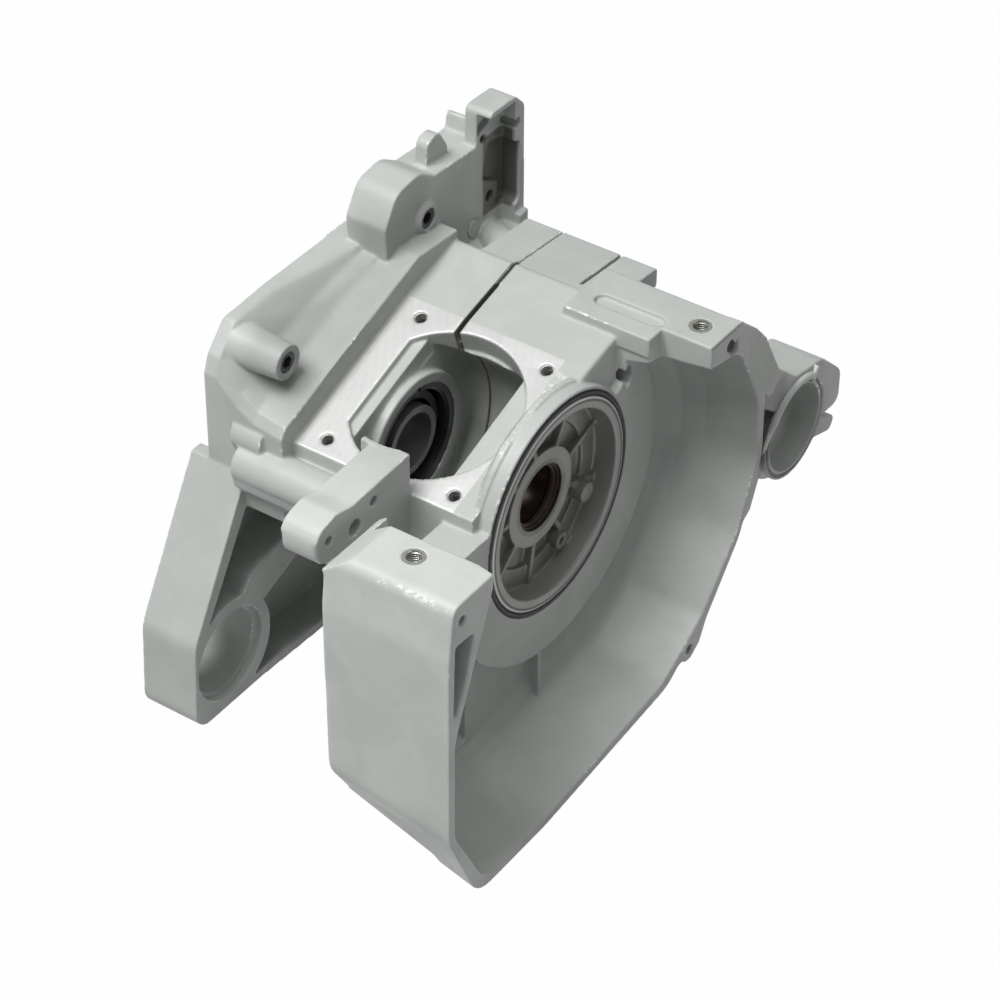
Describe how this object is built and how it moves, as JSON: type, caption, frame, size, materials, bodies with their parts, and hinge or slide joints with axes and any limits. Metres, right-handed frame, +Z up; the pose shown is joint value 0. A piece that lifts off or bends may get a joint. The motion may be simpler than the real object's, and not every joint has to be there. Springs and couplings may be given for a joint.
{
  "type": "chainsaw crankcase",
  "caption": "Split crankcase of a chainsaw: open fan housing with ribbed bearing plate, machined cylinder seat, tank side with shelf and post, and two vibration mount eyes.",
  "frame": {"origin": "crank axis at the plane of the cylinder axis", "axes": "+X along the crank axis towards the fan side, +Y to the rear of the saw, +Z up"},
  "size_m": [0.173, 0.294, 0.2132],
  "materials": {
    "cast_fan": "light grey paint on a die casting, machined on the seats",
    "cast_clutch": "light grey paint on a die casting, machined on the seats",
    "gasket_paper": "matt fibre sheet",
    "plate_alloy": "bare cast alloy, turned rim",
    "ring_rubber": "matt black",
    "seal_rubber": "matt dark brown",
    "spring_steel": "dark spring steel",
    "ground_steel": "ground",
    "screw_steel": "dark oiled steel",
    "insert_metal": "dull plated",
    "race_steel": "ground bearing steel with oil",
    "cage_steel": "dark pressed sheet"
  },
  "bodies": {
    "crankcase": {"crankcase_fan_side": "cast_fan", "crankcase_clutch_side": "cast_clutch", "crankcase_gasket": "gasket_paper", "bearing_plate": "plate_alloy", "bearing_plate_ring": "ring_rubber", "fan_side_seal": "seal_rubber", "clutch_side_seal": "seal_rubber", "clutch_side_circlip": "spring_steel", "fan_bearing_outer_race": "race_steel", "clutch_bearing_outer_race": "race_steel", "dowel_pins": "ground_steel", "case_screws": "screw_steel", "shroud_thread_inserts": "insert_metal", "gallery_plug": "ground_steel"},
    "fan_inner": {"fan_bearing_inner_race": "race_steel"},
    "fan_rollers": {"fan_bearing_balls": "race_steel", "fan_bearing_cage": "cage_steel"},
    "clutch_inner": {"clutch_bearing_inner_race": "race_steel"},
    "clutch_rollers": {"clutch_bearing_balls": "race_steel", "clutch_bearing_cage": "cage_steel"}
  },
  "joints": [
    {"name": "fan_inner_race_spin", "type": "hinge", "parent": "crankcase", "child": "fan_inner", "pos_m": [0, 0, 0], "axis": [1, 0, 0], "continuous": true},
    {"name": "fan_rollers_spin", "type": "hinge", "parent": "crankcase", "child": "fan_rollers", "pos_m": [0, 0, 0], "axis": [1, 0, 0], "continuous": true},
    {"name": "clutch_inner_race_spin", "type": "hinge", "parent": "crankcase", "child": "clutch_inner", "pos_m": [0, 0, 0], "axis": [1, 0, 0], "continuous": true},
    {"name": "clutch_rollers_spin", "type": "hinge", "parent": "crankcase", "child": "clutch_rollers", "pos_m": [0, 0, 0], "axis": [1, 0, 0], "continuous": true}
  ],
  "couplings": [
    {"joint": "fan_rollers_spin", "follows": "fan_inner_race_spin", "ratio": 0.398},
    {"joint": "clutch_rollers_spin", "follows": "clutch_inner_race_spin", "ratio": 0.398}
  ]
}
